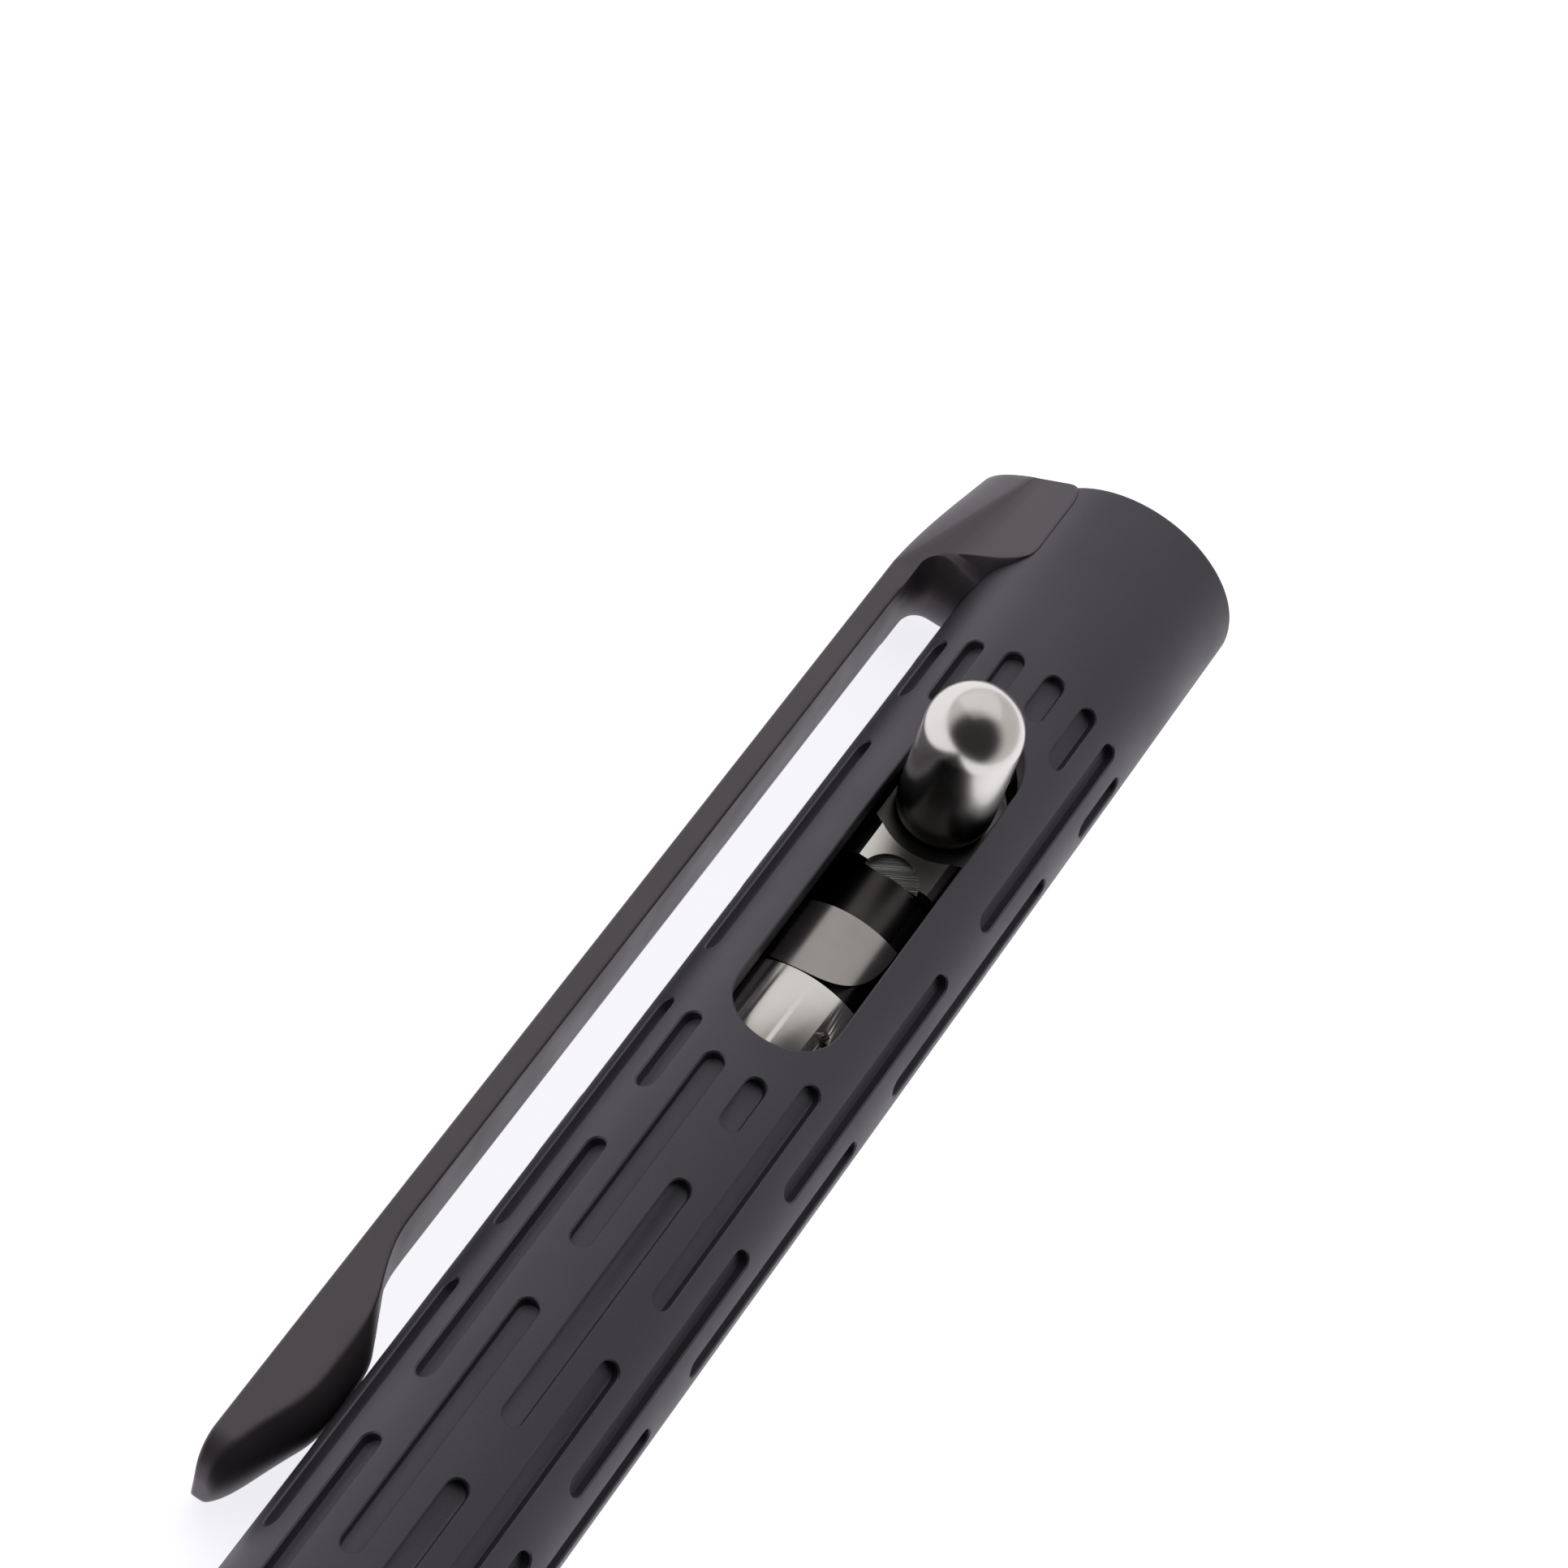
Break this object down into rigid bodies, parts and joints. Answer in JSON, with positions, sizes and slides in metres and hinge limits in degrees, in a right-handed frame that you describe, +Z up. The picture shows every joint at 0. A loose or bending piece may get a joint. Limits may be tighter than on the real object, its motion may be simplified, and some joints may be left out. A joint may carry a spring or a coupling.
{
  "type": "bolt action pen",
  "caption": "Bolt action ballpoint pen: grooved metal barrel with a straight slot for its round-headed knob, bent pocket clip, turning cup, refill, spring and screwed nose.",
  "frame": {"origin": "under the middle of the pen's box, on the surface it lies on", "axes": "+X along the pen from the rear end to the writing tip, +Z up as it lies on its barrel and clip edge"},
  "size_m": [0.138, 0.0146, 0.0164],
  "materials": {
    "anodised_barrel": "bead-blasted and anodised dark grey",
    "clip_metal": "bead-blasted, dark warm grey",
    "stainless_steel": "turned and lightly polished",
    "brass_parts": "turned",
    "spring_steel": "drawn wire",
    "seal_rubber": "matte",
    "refill_plastic": "moulded",
    "ink": "wet"
  },
  "bodies": {
    "barrel": {"barrel": "anodised_barrel", "rear_plug": "stainless_steel", "rear_plug_o_ring": "seal_rubber", "clip": "clip_metal", "clip_screw_1": "stainless_steel", "clip_screw_2": "stainless_steel", "guide_sleeve": "brass_parts"},
    "bolt": {"bolt_knob": "stainless_steel", "bolt_carriage": "stainless_steel", "cam_crown": "stainless_steel"},
    "refill": {"refill_tail_plug": "refill_plastic", "refill_tube": "brass_parts", "ink_column": "ink", "refill_nose": "brass_parts", "refill_point": "stainless_steel", "return_spring": "spring_steel"},
    "rotor": {"cam_rotor": "stainless_steel"},
    "ball": {"writing_ball": "stainless_steel"},
    "nose_thread": {"nose_o_ring": "seal_rubber"},
    "nose": {"nose_section": "anodised_barrel", "nose_tip": "stainless_steel"}
  },
  "joints": [
    {"name": "bolt_slide", "type": "slide", "parent": "barrel", "child": "bolt", "axis": [1, 0, 0], "range_m": [0, 0.01], "stiffness_N_per_m": 120},
    {"name": "refill_slide", "type": "slide", "parent": "barrel", "child": "refill", "axis": [1, 0, 0], "range_m": [0, 0.01], "deforming": ["return_spring"]},
    {"name": "rotor_turn", "type": "hinge", "parent": "refill", "child": "rotor", "pos_m": [-0.034, 0.00177, 0.00548], "axis": [1, 0, 0], "range_deg": [0, 45]},
    {"name": "ball_roll", "type": "hinge", "parent": "refill", "child": "ball", "pos_m": [0.06415, 0.00177, 0.00548], "axis": [0, 1, 0], "continuous": true},
    {"name": "nose_travel", "type": "slide", "parent": "barrel", "child": "nose_thread", "axis": [1, 0, 0], "range_m": [0, 0.006]},
    {"name": "nose_turn", "type": "hinge", "parent": "nose_thread", "child": "nose", "pos_m": [0.056, 0.00177, 0.00548], "axis": [1, 0, 0], "range_deg": [0, 1440]}
  ],
  "couplings": [
    {"joint": "refill_slide", "follows": "bolt_slide", "ratio": 1},
    {"joint": "rotor_turn", "follows": "bolt_slide", "rad_per_m": 78.54},
    {"joint": "nose_turn", "follows": "nose_travel", "rad_per_m": 4188.8}
  ]
}
